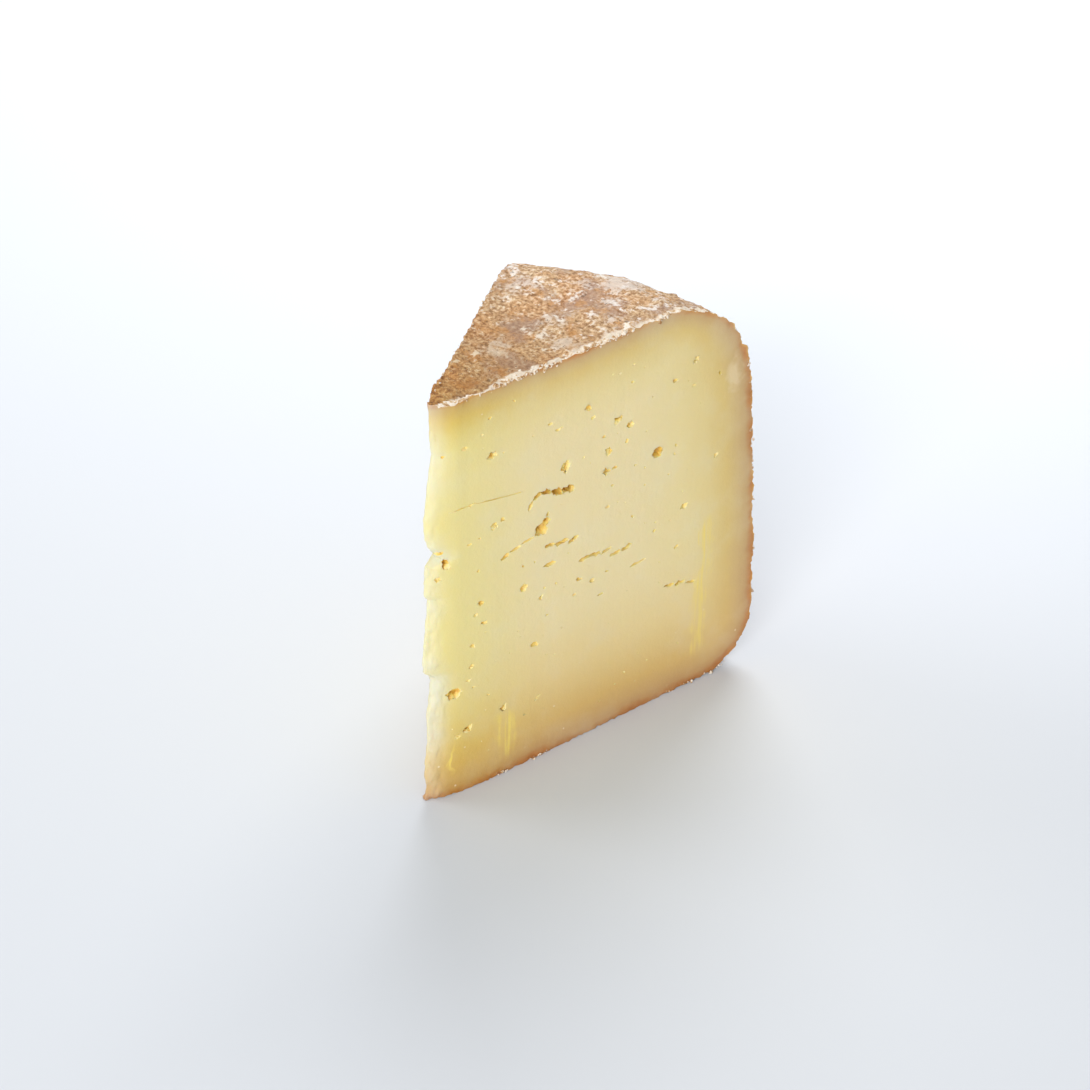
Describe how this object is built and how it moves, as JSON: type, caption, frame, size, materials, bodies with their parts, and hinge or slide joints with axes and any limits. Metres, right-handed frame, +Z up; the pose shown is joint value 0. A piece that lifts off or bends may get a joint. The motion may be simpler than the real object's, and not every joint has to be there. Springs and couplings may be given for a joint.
{
  "type": "cheese wedge",
  "caption": "Upright wedge cut from a tall round wheel of pressed ewe's-milk cheese, with small eyes in the pale paste, a blunt broken point and a rough brown natural rind.",
  "frame": {"origin": "middle of the wedge's bounding box, on the surface it stands on", "axes": "+Z up along the wheel's axis; the blunt point of the wedge towards -Y and the rind towards +Y; the cut with the open eyes faces +X"},
  "size_m": [0.066, 0.1022, 0.1245],
  "materials": {
    "paste": "pale ivory-yellow pressed cheese, faintly waxy, ochre towards the rind",
    "rind": "dry natural rind, brown and tan with grey-white mould and a cloth imprint"
  },
  "bodies": {
    "root": {"cheese_wedge": "paste"}
  },
  "joints": []
}
